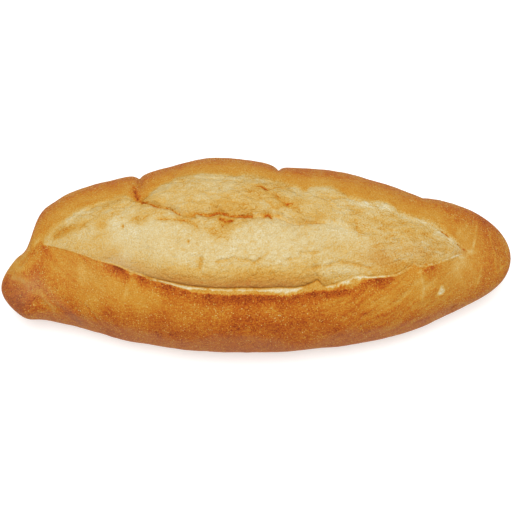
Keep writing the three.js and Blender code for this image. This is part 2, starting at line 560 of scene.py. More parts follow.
@dataclass(frozen=True)
class Mark:
    """A soft-edged oval patch: browned more or less than its surroundings, raised, sunk or floured.

    It lies at a place along the loaf in millimetres, and at a turn in degrees from the back waist over
    the top. Its half sizes are in millimetres. Its tilt turns its length towards the front, in degrees.
    """

    x: float
    turn: float
    along: float
    across: float
    tilt: float = 0
    bake: float = 0
    rise: float = 0
    flour_and_shade: float = 0
    edge: float = 1

    def weight(self, surface: Surface) -> Array:
        """Gives 1 at the patch's middle and 0 well outside it.

        Args:
            surface: The surface that it lies on.

        Returns:
            The patch's weight at each point.
        """
        forward = surface.x - self.x
        aside = np.radians(surface.turn - self.turn) * surface.radius
        cosine, sine = math.cos(math.radians(self.tilt)), math.sin(math.radians(self.tilt))
        length = (forward * cosine + aside * sine) / self.along
        breadth = (aside * cosine - forward * sine) / self.across
        return np.exp(-(length ** 2 + breadth ** 2) ** self.edge)


@dataclass(frozen=True)
class Tooth:
    """A place where the torn lip reaches further back, with its half width and reach in millimetres."""

    x: float
    half_width: float
    reach: float


@dataclass(frozen=True)
class Tear:
    """A line across the surface through (x, turn) points: a fold, a crack or a streak.

    It has a half width and a rise in millimetres, a change in browning, and a wider glow of browning
    round it. A sharp ragged crack can run along it, and it can be floured, from 0 to 1 each.
    """

    points: tuple[tuple[float, float], ...]
    half_width: float
    rise: float = 0
    bake: float = 0
    glow: float = 0
    glow_width: float = 4
    crack: float = 0
    flour_and_shade: float = 0

    def distance(self, surface: Surface) -> Array:
        """Measures how far the surface's points lie from the line.

        Args:
            surface: The surface that it runs over.

        Returns:
            Distances in millimetres.
        """
        nearest = np.full(surface.angle.shape, np.inf)
        for (start_x, start_turn), (end_x, end_turn) in zip(self.points, self.points[1:]):
            run = end_x - start_x
            climb = math.radians(end_turn - start_turn) * surface.radius
            forward = surface.x - start_x
            aside = np.radians(surface.turn - start_turn) * surface.radius
            length = np.maximum(run ** 2 + climb ** 2, TINY)
            share = np.clip((forward * run + aside * climb) / length, 0, 1)
            nearest = np.minimum(nearest, np.hypot(forward - share * run, aside - share * climb))
        return nearest


@dataclass(frozen=True)
class Streaks:
    """Many fine lines side by side, where crust or crumb was drawn out as the loaf swelled.

    The lines run along the loaf and turn towards the front by a slant in degrees. Their length, width and
    rise are in millimetres. Crisp ones are thin creases with even surface between them.
    """

    bands: tuple[Band, ...]
    span: Span
    slant: float
    length: float
    width: float
    rise: float
    bake: float
    crisp: bool = False
    crisp_width: float = 0.16
    layers: int = 2

    def weight(self, surface: Surface) -> Array:
        """Works out the lines.

        Args:
            surface: The surface that they run over.

        Returns:
            Their strength at each point, about -1 to 1, or 0 to 1 for crisp ones.
        """
        cosine, sine = math.cos(math.radians(self.slant)), math.sin(math.radians(self.slant))
        along = (surface.x * cosine + surface.below_lip * sine) / self.length
        aside = (surface.below_lip * cosine - surface.x * sine) / self.width
        field_place = np.stack([along, aside, np.full_like(along, self.slant)], axis=-1)
        lines = surface.grain.layered(field_place, 1, self.layers)
        if self.crisp:
            lines = bell(lines, self.crisp_width)
        return lines * self.span.strength(surface.x) * surface.on(*self.bands)


@dataclass(frozen=True)
class Relief:
    """Heights of the burst, its folds and its torn crumb over the smooth form, in millimetres."""

    lip_rise: float = 1.6
    lip_flare: float = 5
    ledge_drop: float = 1.2
    seam_drop: float = 0.5
    crevice_depth: float = 1.4
    crevice_sharpness: float = 50
    seam_depth: float = 0.2
    lobe_rise: float = 5
    lobe_ends: float = 0.4
    lobe_fall: float = 3
    foot_rise: float = 0.9
    lobe_shoulder: float = 0.45
    lobe_onset: float = 1.8
    back_lobe_rise: float = 2.6
    back_lobe_top: float = 0.65
    back_lobe_brow: float = 0.88
    crease_depth: float = 1.6
    crease_sharpness: float = 18
    folds: tuple[Fold, ...] = (
        Fold(x=-66, lean=2, depth=3.4, width=2.6, climb=1),
        Fold(x=16, lean=-2, depth=3.4, width=2.6, climb=0.9),
        Fold(x=100, lean=2, depth=1.4, width=3.4, climb=0.7),
    )
    lumps: Patches = Patches(strength=0.6, size=40, layers=1)
    swelling: Patches = Patches(strength=0.42, size=17, shift=70, layers=1)
    ripples: Patches = Patches(strength=0.14, size=6, shift=160)
    wrinkles: Patches = Patches(strength=0.5, size=6, shift=120, stretch=0.55)
    cracking: Patches = Patches(strength=1, size=10, shift=220, stretch=0.5)
    crack_width: float = 0.09
    crack_depth: float = 0.5
    skin_calm: float = 0.45

    def burst(self, surface: Surface) -> Array:
        """Works out the lip, the ledge, the crevice and the two lobes.

        Args:
            surface: The smooth surface.

        Returns:
            Heights by row and column.
        """
        lines = surface.lines
        lobe = self.lobe_rise * mix(self.lobe_ends, 1, lines.parted) * lines.relief
        shoulder = self.lobe_shoulder * lobe
        floor = shoulder - self.crease_depth * lines.creased * lines.relief
        foot = self.foot_rise * lines.relief
        crevice = foot - mix(self.seam_depth, self.crevice_depth, lines.parted) * lines.relief
        ledge = (self.lip_rise - mix(self.seam_drop, self.ledge_drop, lines.parted)) * lines.relief
        lip = self.lip_rise * lines.relief
        back = self.back_lobe_rise * lines.creased * lines.relief
        f = surface.share
        roll = np.sin(math.pi / 2 * np.minimum(1, f / self.back_lobe_top))
        roll = roll * (1 - smooth(self.back_lobe_brow, 1, f))
        swell = mix(shoulder, lobe, np.sin(math.pi / 2 * np.minimum(1, self.lobe_onset * f)))
        to_crease = (floor - shoulder) * (1 - f) ** self.crease_sharpness
        to_foot = (foot - lobe) * f ** self.lobe_fall
        to_crevice = (crevice - foot) * f ** self.crevice_sharpness
        heights = {
            Band.BACK_LOBE: floor * f ** 2 + back * roll,
            Band.LOBE: swell + to_crease + to_foot + to_crevice,
            Band.CREVICE: mix(crevice, ledge, f),
            Band.LEDGE: mix(ledge, lip, f),
            Band.FRONT_CRUST: lip * (1 - f) ** self.lip_flare,
        }
        return sum(np.where(surface.on(band), height, 0) for band, height in heights.items())

    def pinches(self, surface: Surface) -> Array:
        """Adds up the depths of the back crust's folds."""
        return sum(fold.sink(surface) for fold in self.folds)

    def texture(self, surface: Surface, opened: Array, skin: Array) -> Array:
        """Works out what is uneven: lumps all over, ripples of crust, wrinkles and cracks of crumb.

        Args:
            surface: The smooth surface.
            opened: Where the burst shows crumb.
            skin: Where that crumb is covered by smooth pale skin.

        Returns:
            Heights by row and column.
        """
        lumps = surface.uneven(self.lumps) + surface.uneven(self.swelling)
        crumb = surface.uneven(self.wrinkles) - self.crack_depth * self.cracks(surface)
        calm = mix(1, self.skin_calm, skin)
        return lumps + mix(surface.uneven(self.ripples), crumb * calm, opened)

    def cracks(self, surface: Surface) -> Array:
        """Finds thin cracks where the crumb tore: 1 in a crack and 0 away from it."""
        return bell(surface.uneven(self.cracking), self.crack_width)


@dataclass(frozen=True)
class Baking:
    """Browning of each part of the loaf, from torn crumb at 0 to scorched crust at 1, and some painted
    shade.

    Curves and spans run along the loaf in millimetres. Turns are in degrees from the back waist, and
    other distances in millimetres over the surface.
    """

    # Crust: its front and foot, its back, its base and the clouds over them all
    front_crust: Curve = Curve((
        (-150, 0.7), (-130, 0.65), (-115, 0.58), (-100, 0.54), (-65, 0.54), (-45, 0.62), (-25, 0.7),
        (20, 0.72), (60, 0.63), (95, 0.54), (125, 0.56), (150, 0.64),
    ))
    front_foot: Curve = Curve((
        (-150, 0), (-135, 0.08), (-120, 0.19), (-107, 0.26), (-88, 0.29), (-60, 0.26), (-30, 0.14),
        (40, 0.12), (85, 0.18), (120, 0.16), (150, 0.1),
    ))
    foot_turn: Onset = Onset(138, 172)
    front_turn: Onset = Onset(70, 110)
    back_crust: float = 0.555
    # Painted shade: the back crust darker towards the back waist, where it turns away from the light
    back_outline: float = 0.13
    outline_edge: Onset = Onset(-20, -4)
    base: float = 0.62
    under_front_turn: Onset = Onset(195, 225)
    under_back_turn: Onset = Onset(-45, -15)
    clouds: Patches = Patches(strength=0.06, size=26, shift=600, layers=2)

    # Scorched band under the lip, and the golden edge of the lip itself
    scorch: Curve = Curve((
        (-104, 0), (-90, 0.12), (-85, 0.24), (-77, 0.42), (-73, 0.32), (-70.5, 0.12), (-66, 0.36),
        (-61, 0.24), (-50, 0.28), (-32, 0.18), (-10, 0.21), (20, 0.22), (42, 0.18), (58, 0.12),
        (68, 0.34), (79, 0.06), (90, 0.03), (98, 0.12), (106, 0.02), (124, 0),
    ))
    scorch_drop: Curve = Curve((
        (-80, 0.4), (-45, 1.2), (-20, 1.7), (35, 1.7), (60, 1.5), (85, 0.6), (124, 0.5),
    ))
    scorch_width: float = 5.6
    scorch_blotches: Patches = Patches(strength=0.4, size=6.5, shift=500)
    golden_lip_span: Span = Span(-52, -36, 50, 62)
    golden_lip_edge: Onset = Onset(-0.3, 1.2)
    golden_lip_rags: Patches = Patches(strength=0.8, size=1.6, shift=550, layers=2)

    # Burst: how far it opens, its torn crumb and the pale skin over part of it
    burst_ends: Onset = Onset(4, 8)
    rim_edge: Onset = Onset(-3, 1.6)
    rim_rags: Patches = Patches(strength=1.4, size=7, layers=2)
    torn: float = 0.31
    right_torn: float = 0.07
    right_torn_place: Onset = Onset(70, 100)
    torn_patches: Patches = Patches(strength=0.1, size=15, shift=300)
    skin: float = 0.18
    right_skin: float = 0.17
    right_skin_place: Onset = Onset(45, 85)
    skin_patches: Patches = Patches(strength=0.04, size=18, shift=400)
    skin_edge: Curve = Curve((
        (-126, 0.6), (-88, 0.42), (-60, 0.35), (-40, 0.47), (-33, 0.52), (-24, 0.62), (-10, 0.5),
        (10, 0.34), (29, 0.36), (57, 0.44), (75, 0.8), (124, 0.9),
    ))
    skin_edge_rags: Patches = Patches(strength=0.05, size=13, shift=200)
    skin_fade: Onset = Onset(-2.5, 2.5)
    # Browner at the foot of the lobe near the crevice: partly baked, partly painted shade where it curves
    # down
    lobe_foot: float = 0.36
    lobe_foot_width: float = 16
    closed_foot: float = 0.4
    # Darker on the back lobe's face over the crease: partly baked, partly painted shade under its
    # overhang
    back_lobe_face: float = 0.05
    back_lobe_face_width: float = 5
    rim_pale: float = 0.12
    pale_rim_inset: float = 2.2
    pale_rim_width: float = 1.8
    pale_rim_span: Span = Span(25, 60, 118, 126)
    # Darker in the crevice: partly toasted, partly painted shade in the recess
    crevice: float = 0.66

    # Ledge under the lip: golden, with white crumb where it tore
    ledge_golden: float = 0.48
    ledge_white: float = 0.1
    torn_white: Curve = Curve((
        (-126, -0.3), (-62, -0.3), (-54, 0.3), (-46, 0.6), (-39, 0.6), (-36, 0), (-28, 0.1), (-15, 0.2),
        (-7, 0.2), (3, 0.32), (8, 0.65), (16, 0.6), (20, 0.45), (22, 0), (24, -0.3), (35, -0.3),
        (37, 0.4), (42, 0.3), (52, 0.25), (58, 0.4), (70, 0.1), (78, -0.05), (100, -0.05), (112, 0.3),
        (118, 0.3), (124, 0),
    ))
    white_edge: Onset = Onset(-0.2, 0.2)
    white_rags: Patches = Patches(strength=0.45, size=2.2, shift=700, layers=2)

    # Floured underside, a duller, pinker skirt along the front foot, and painted shade at the lobe's foot
    base_dust: float = 0.75
    base_dust_height: Onset = Onset(2, 9)
    base_dust_patches: Patches = Patches(strength=0.5, size=12, shift=800)
    skirt: Curve = Curve((
        (-150, 178), (-113, 166), (-70, 170), (-45, 175), (-27, 169), (5, 170), (12, 176), (30, 176),
        (38, 170), (69, 169), (110, 172), (150, 178),
    ))
    # A duller, pinker band along the front foot, mixed towards the same dull colour
    skirt_dulling: float = 0.5
    skirt_start: Onset = Onset(-4, 6)
    skirt_end: Onset = Onset(40, 60)
    skirt_rags: Patches = Patches(strength=5, size=14, shift=850)
    # Painted shade: the foot of the lobe greyed with the dull colour towards the crevice
    painted_foot_shade: float = 0.7
    painted_foot_shade_reach: Onset = Onset(0, 10)
    painted_foot_shade_span: Span = Span(-95, -75, 10, 45)

    # How strongly fine patterns show, from golden to dark crust and along the crumb
    crust_vigour: tuple[float, float] = (0.62, 1.3)
    dark_crust: Onset = Onset(0.52, 0.76)
    crumb_vigour: tuple[float, float] = (1, 1.4)
    right_crumb: Onset = Onset(30, 75)

    def opened(self, surface: Surface) -> Array:
        """Paints where the burst shows crumb and not crust.

        Args:
            surface: The smooth surface.

        Returns:
            1 on the burst and 0 on the crust, soft at the rim and sharp at the lip.
        """
        inside = surface.inside_rim + surface.uneven(self.rim_rags)
        crust = surface.on(Band.FRONT_CRUST, Band.UNDER_FRONT, Band.UNDER_BACK)
        return np.where(crust, 0, self.rim_edge(inside)) * self.burst_ends(surface.lines.width)

    def skin_cover(self, surface: Surface) -> Array:
        """Paints where a smooth pale skin covers the torn crumb: 1 on the skin and 0 above its edge."""
        edge = self.skin_edge(surface.x) + surface.uneven(self.skin_edge_rags)
        return self.skin_fade((surface.across - edge) * surface.lines.width)

    def crust(self, surface: Surface) -> Array:
        """Paints the crust.

        Args:
            surface: The smooth surface.

        Returns:
            Browning by row and column.
        """
        x, turn = surface.x, surface.turn
        on_front = surface.on(Band.FRONT_CRUST)
        front = self.front_crust(x) + self.front_foot(x) * self.foot_turn(turn)
        # The back crust darkens towards the back waist: painted shade where it turns away from the light
        back = self.back_crust + self.back_outline * (1 - self.outline_edge(surface.inside_rim))
        side = mix(back, front, self.front_turn(turn))
        under = self.under_front_turn(turn) + (1 - self.under_back_turn(turn))
        level = mix(side, self.base, under)
        lip = bell(surface.below_lip - self.scorch_drop(x), self.scorch_width) * on_front
        blotches = 1 + surface.uneven(self.scorch_blotches)
        level = level + self.scorch(x) * lip * blotches + surface.uneven(self.clouds)
        ragged = surface.below_lip + surface.uneven(self.golden_lip_rags)
        golden = (1 - self.golden_lip_edge(ragged)) * on_front
        return mix(level, self.ledge_golden, golden * self.golden_lip_span.strength(x))

    def crumb(self, surface: Surface, skin: Array) -> Array:
        """Paints the burst.

        Args:
            surface: The smooth surface.
            skin: Where a smooth pale skin covers the torn crumb.

        Returns:
            Browning by row and column.
        """
        x, lines = surface.x, surface.lines
        on_ledge = surface.on(Band.LEDGE)
        torn = self.torn + self.right_torn * self.right_torn_place(x) + surface.uneven(self.torn_patches)
        pale = self.skin + self.right_skin * self.right_skin_place(x) + surface.uneven(self.skin_patches)
        # The lobe's foot browns towards the crevice: partly baked, partly painted shade where it curves
        # down
        foot = 1 - smooth(0, self.lobe_foot_width, surface.above_crevice)
        pale = pale + self.lobe_foot * foot * lines.relief * mix(self.closed_foot, 1, lines.parted)
        level = mix(torn, pale, skin)
        # The back lobe's face over the crease: partly baked, partly painted shade under its overhang
        face = bell(surface.above_crease, self.back_lobe_face_width) * surface.on(Band.BACK_LOBE)
        level = level + self.back_lobe_face * face * lines.creased
        rim = bell(surface.inside_rim - self.pale_rim_inset, self.pale_rim_width)
        level = level - self.rim_pale * (rim * self.pale_rim_span.strength(x))
        white = self.torn_white(x) + surface.uneven(self.white_rags)
        golden = self.white_edge(np.where(on_ledge, surface.share, 0) - white)
        ledge = mix(self.ledge_white, self.ledge_golden, golden)
        level = np.where(on_ledge, ledge, level)
        # The crevice is darker: partly toasted, partly painted shade in the recess
        crevice = mix(mix(pale, self.crevice, lines.parted), ledge, surface.share)
        return np.where(surface.on(Band.CREVICE), crevice, level)

    def flour_and_shade(self, surface: Surface) -> Array:
        """Paints the floured underside, a dull skirt along the front foot and painted shade at the lobe's
        foot.

        Args:
            surface: The smooth surface.

        Returns:
            Share of the dull colour from 0 to 1 by row and column.
        """
        patches = self.base_dust + surface.uneven(self.base_dust_patches)
        base = (1 - self.base_dust_height(surface.points[..., 2])) * patches
        inward = surface.turn - self.skirt(surface.x) - surface.uneven(self.skirt_rags)
        skirt = self.skirt_start(inward) * (1 - self.skirt_end(inward))
        # Painted shade: the foot of the lobe greyed towards the crevice
        foot = (1 - self.painted_foot_shade_reach(surface.above_crevice)) * surface.on(Band.LOBE)
        foot = foot * self.painted_foot_shade_span.strength(surface.x)
        return base + self.skirt_dulling * skirt + self.painted_foot_shade * foot

    def vigour(self, surface: Surface, bake: Array, opened: Array) -> Array:
        """Paints how strongly the fine patterns show: more on dark crust and on the right of the burst.

        Args:
            surface: The smooth surface.
            bake: Browning, which in a few places also carries painted shade.
            opened: Where the burst shows crumb.

        Returns:
            Strength by row and column, about 1.
        """
        crust = mix(*self.crust_vigour, self.dark_crust(bake))
        crumb = mix(*self.crumb_vigour, self.right_crumb(surface.x))
        return mix(crust, crumb, opened)


@dataclass(frozen=True)
class Pattern:
    """A cloudy or folded pattern: its size, and its relief and browning on crust and on crumb.

    Sizes and reliefs are in millimetres. Folds are drawn out along the loaf.
    """

    size_mm: float
    crumb_relief_mm: float
    crumb_bake: float
    crust_relief_mm: float = 0
    crust_bake: float = 0
    folded: bool = False


@dataclass(frozen=True)
class BakedCrust:
    """Baked wheat bread: satin crust that browns from gold to a red brown, and matt pale crumb.

    Each point's browning, with painted shade in a few places, picks its colour, so what baked longer is
    both darker and redder. Fine blisters are painted on the crust as pale specks: painted highlights.
    """

    browning: tuple[tuple[float, str], ...] = (
        (0.00, "DAD2B8"),
        (0.12, "D0BF92"),
        (0.24, "CAB078"),
        (0.34, "C8A45D"),
        (0.44, "C39648"),
        (0.54, "BD8730"),
        (0.64, "B87422"),
        (0.74, "B1621B"),
        (0.84, "A75216"),
        (0.93, "9B4517"),
        (1.00, "7C3410"),
    )
    # A dull pinkish brown: the floured underside, and painted shade at the lobe's foot
    flour_and_shade_colour: str = "A67853"
    flour_and_shade_cover: float = 0.5

    # Dry starch has an IOR near 1.5. Pores break up the sheen, so the gloss is low
    ior: float = 1.45
    gloss: float = 0.06
    crust_roughness: float = 0.6
    crumb_roughness: float = 0.9

    # Clouds from blotches down to grit, which is coarser than real pores so that it shows
    mottle: Pattern = Pattern(
        14, crust_relief_mm=0.5, crust_bake=0.3, crumb_relief_mm=0.8, crumb_bake=0.1,
    )
    fleck: Pattern = Pattern(
        3.2, crust_relief_mm=0.6, crust_bake=0.24, crumb_relief_mm=0.6, crumb_bake=0.1,
    )
    grit: Pattern = Pattern(
        0.8, crust_relief_mm=0.6, crust_bake=0.75, crumb_relief_mm=0.9, crumb_bake=0.58,
    )
    folds: Pattern = Pattern(4.5, crumb_relief_mm=0.22, crumb_bake=-0.04, folded=True)
    fold_stretch: tuple[float, float, float] = (0.45, 1.0, 1.0)
    fold_offset: float = 1
    cloud_detail: float = 3
    cloud_roughness: float = 0.6
    cloud_middle: float = 0.5

    # Blisters: domes in cells, few strong, and shown more where patterns are vigorous; painted paler as
    # highlights
    blister_mm: float = 0.95
    blister_relief_mm: float = 0.2
    blister_highlight: float = -0.38
    blister_rarity: float = 2
    blister_dome: tuple[float, float] = (0.45, 0.1)
    blister_vigour: tuple[float, float] = (0.62, 1.3)
    blister_show: tuple[float, float] = (0.4, 1.7)

    # Hairline cracks in patches of torn crumb
    hairline_mm: float = 9
    hairline_stretch: tuple[float, float, float] = (0.5, 1.0, 1.0)
    hairline_detail: float = 4
    hairline_distortion: float = 0.4
    hairline_width: float = 0.02
    hairline_patch_mm: float = 20
    hairline_patch_detail: float = 1
    hairline_patch_edge: tuple[float, float] = (0.42, 0.55)
    hairline_relief_mm: float = -0.06
    hairline_bake: float = 0.18

    # Sharp cracks along the painted tears
    crack_wander_mm: float = 1.6
    crack_wander: float = 0.9
    crack_edge: tuple[float, float] = (0.6, 0.9)
    crack_relief_mm: float = -0.4
    crack_bake: float = 0.3

    def make(self) -> bpy.types.Material:
        """Builds the material.

        Returns:
            The finished material.
        """
        # Baked wheat crust: a satin brown shell, with pale matt crumb where it burst
        material = bpy.data.materials.new("baked_crust")
        material.use_nodes = True
        tree = material.node_tree
        tree.nodes.clear()
        bake, opened, torn, crack, flour_and_shade, vigour = [
            add_node(tree, "Attribute", {"attribute_name": name}).outputs["Fac"]
            for name in ("bake", "opened", "torn", "crack", "flour_and_shade", "vigour")
        ]
        place = add_node(tree, "TexCoord").outputs["Object"]
        drawn_out = add_node(tree, "Mapping", inputs={"Vector": place, "Scale": self.fold_stretch})
        flaws = [
            (self.blisters(tree, place, opened, vigour), self.blister_highlight, self.blister_relief_mm),
            (self.hairlines(tree, place, torn), self.hairline_bake, self.hairline_relief_mm),
            (self.cracks(tree, place, crack), self.crack_bake, self.crack_relief_mm),
        ]
        for pattern in (self.mottle, self.fleck, self.grit):
            flaws.append(self.clouds(tree, pattern, place, opened, vigour))
        flaws.append(self.clouds(tree, self.folds, drawn_out, torn, vigour))
        level, height = bake, 0.0
        for flaw, browned, raised in flaws:
            add = {"operation": "MULTIPLY_ADD"}
            level = add_node(tree, "Math", add, {0: flaw, 1: browned, 2: level})
            height = add_node(tree, "Math", add, {0: flaw, 1: raised, 2: height})
        ramp = add_node(tree, "ValToRGB", inputs={"Fac": level})
        self.fill(ramp.color_ramp)
        # Towards the dull colour: the floured underside, and painted shade at the lobe's foot
        flour_and_shade_share = add_node(tree, "Math", {"operation": "MULTIPLY"}, {0: flour_and_shade, 1: self.flour_and_shade_cover})
        colour = add_node(tree, "Mix", {"data_type": "RGBA"}, {
            "Factor": flour_and_shade_share, 6: ramp, 7: linear(self.flour_and_shade_colour),
        })
        roughness = add_node(tree, "MapRange", inputs={
            "Value": opened, "To Min": self.crust_roughness, "To Max": self.crumb_roughness,
        })
        bump = add_node(tree, "Bump", inputs={"Height": height, "Distance": MM, "Strength": 1.0})
        shader = add_node(tree, "BsdfPrincipled", inputs={
            "Base Color": colour.outputs[2], "Roughness": roughness, "IOR": self.ior,
            "Specular IOR Level": self.gloss, "Normal": bump,
        })
        add_node(tree, "OutputMaterial", inputs={"Surface": shader})
        return material

    def clouds(self, tree: Tree, pattern: Pattern, place: Socket | Node, cover: Socket,
               vigour: Socket) -> tuple[Node, Node, Node]:
        """Adds a cloudy or folded pattern.

        Args:
            tree: The node tree.
            pattern: The pattern's sizes.
            place: The point in metres.
            cover: From 0 on crust to 1 on crumb.
            vigour: How strongly fine patterns show.

        Returns:
            The clouds round zero, how far they brown the surface and how far they raise it.
        """
        settings = {"noise_type": "FBM"}
        inputs = {
            "Vector": place, "Scale": pattern_scale(pattern.size_mm), "Detail": self.cloud_detail,
            "Roughness": self.cloud_roughness,
        }
        if pattern.folded:
            settings["noise_type"] = "RIDGED_MULTIFRACTAL"
            inputs["Offset"] = self.fold_offset
        cloud = add_node(tree, "TexNoise", settings, inputs)
        centred = add_node(tree, "Math", {"operation": "SUBTRACT"}, {0: cloud, 1: self.cloud_middle})
        browned = add_node(tree, "MapRange", inputs={
            "Value": cover, "To Min": pattern.crust_bake, "To Max": pattern.crumb_bake,
        })
        raised = add_node(tree, "MapRange", inputs={
            "Value": cover, "To Min": pattern.crust_relief_mm, "To Max": pattern.crumb_relief_mm,
        })
        painted = add_node(tree, "Math", {"operation": "MULTIPLY"}, {0: browned, 1: vigour})
        return centred, painted, raised

    def blisters(self, tree: Tree, place: Socket, opened: Socket, vigour: Socket) -> Node:
        """Adds the crust's fine blisters, which are raised and painted paler as highlights.

        Args:
            tree: The node tree.
            place: The point in metres.
            opened: Where the burst shows crumb, which has no blisters.
            vigour: How strongly fine patterns show.

        Returns:
            About 1 on a blister and 0 between them.
        """
        cells = add_node(tree, "TexVoronoi", inputs={
            "Vector": place, "Scale": pattern_scale(self.blister_mm), "Randomness": 1.0,
        })
        edge, crown = self.blister_dome
        dome = add_node(tree, "MapRange", inputs={"Value": cells, "From Min": edge, "From Max": crown})
        pick = add_node(tree, "SeparateColor", inputs={"Color": cells.outputs["Color"]})
        swollen = add_node(tree, "Math", {"operation": "POWER"}, {0: pick, 1: self.blister_rarity})
        kept = add_node(tree, "MapRange", inputs={"Value": opened, "To Min": dome, "To Max": 0.0})
        calm, lively = self.blister_vigour
        faint, clear = self.blister_show
        shown = add_node(tree, "MapRange", inputs={
            "Value": vigour, "From Min": calm, "From Max": lively, "To Min": faint, "To Max": clear,
        })
        strong = add_node(tree, "Math", {"operation": "MULTIPLY"}, {0: swollen, 1: shown})
        return add_node(tree, "Math", {"operation": "MULTIPLY"}, {0: strong, 1: kept})

    def hairlines(self, tree: Tree, place: Socket, torn: Socket) -> Node:
        """Adds patches of hairline cracks in torn crumb, drawn out along the loaf.

        Args:
            tree: The node tree.
            place: The point in metres.
            torn: How torn the crumb is.

        Returns:
            1 in a crack of fully torn crumb and 0 away from cracks.
        """
        drawn_out = add_node(tree, "Mapping", inputs={"Vector": place, "Scale": self.hairline_stretch})
        cloud = add_node(tree, "TexNoise", inputs={
            "Vector": drawn_out, "Scale": pattern_scale(self.hairline_mm), "Detail": self.hairline_detail,
            "Roughness": self.cloud_roughness, "Distortion": self.hairline_distortion,
        })
        away = add_node(tree, "Math", {"operation": "SUBTRACT"}, {0: cloud, 1: self.cloud_middle})
        near = add_node(tree, "Math", {"operation": "ABSOLUTE"}, {0: away})
        line = add_node(tree, "MapRange", inputs={
            "Value": near, "From Min": self.hairline_width, "From Max": 0.0, "To Max": torn,
        })
        patches = add_node(tree, "TexNoise", inputs={
            "Vector": place, "Scale": pattern_scale(self.hairline_patch_mm),
            "Detail": self.hairline_patch_detail,
        })
        start, full = self.hairline_patch_edge
        return add_node(tree, "MapRange", inputs={
            "Value": patches, "From Min": start, "From Max": full, "To Max": line,
        })

    def cracks(self, tree: Tree, place: Socket, crack: Socket) -> Node:
        """Cuts sharp, ragged cracks along the painted lines.

        Args:
            tree: The node tree.
            place: The point in metres.
            crack: Nearness to a crack, 1 on the line of a strong one.

        Returns:
            1 in a crack and 0 away from cracks.
        """
        cloud = add_node(tree, "TexNoise", inputs={
            "Vector": place, "Scale": pattern_scale(self.crack_wander_mm), "Detail": self.cloud_detail,
            "Roughness": self.cloud_roughness,
        })
        centred = add_node(tree, "Math", {"operation": "SUBTRACT"}, {0: cloud, 1: self.cloud_middle})
        ragged = add_node(tree, "Math", {"operation": "MULTIPLY_ADD"}, {
            0: centred, 1: self.crack_wander, 2: crack,
        })
        start, full = self.crack_edge
        return add_node(tree, "MapRange", inputs={"Value": ragged, "From Min": start, "From Max": full})

    def fill(self, ramp: bpy.types.ColorRamp) -> None:
        """Fills a colour ramp with the colours of browning.

        Args:
            ramp: The ramp, whose old stops are dropped.
        """
        while len(ramp.elements) > 1:
            ramp.elements.remove(ramp.elements[-1])
        for index, (stop, colour) in enumerate(self.browning):
            element = ramp.elements.new(stop) if index else ramp.elements[0]
            element.position = stop
            element.color = linear(colour)


# Points of the torn crease, as places along the loaf and turns from the back waist
CREASE_LEFT = ((-63.8, 77), (-60.1, 79.1), (-54.8, 81.9), (-48, 84.1), (-44.3, 87.2), (-42, 88.5))
CREASE_MIDDLE = (
    (-34.5, 88.8), (-30, 89.8), (-27, 90.6), (-24, 90), (-20.3, 89.1), (-15, 90.6), (-9.8, 90.6),
    (-2.3, 90.1),
)


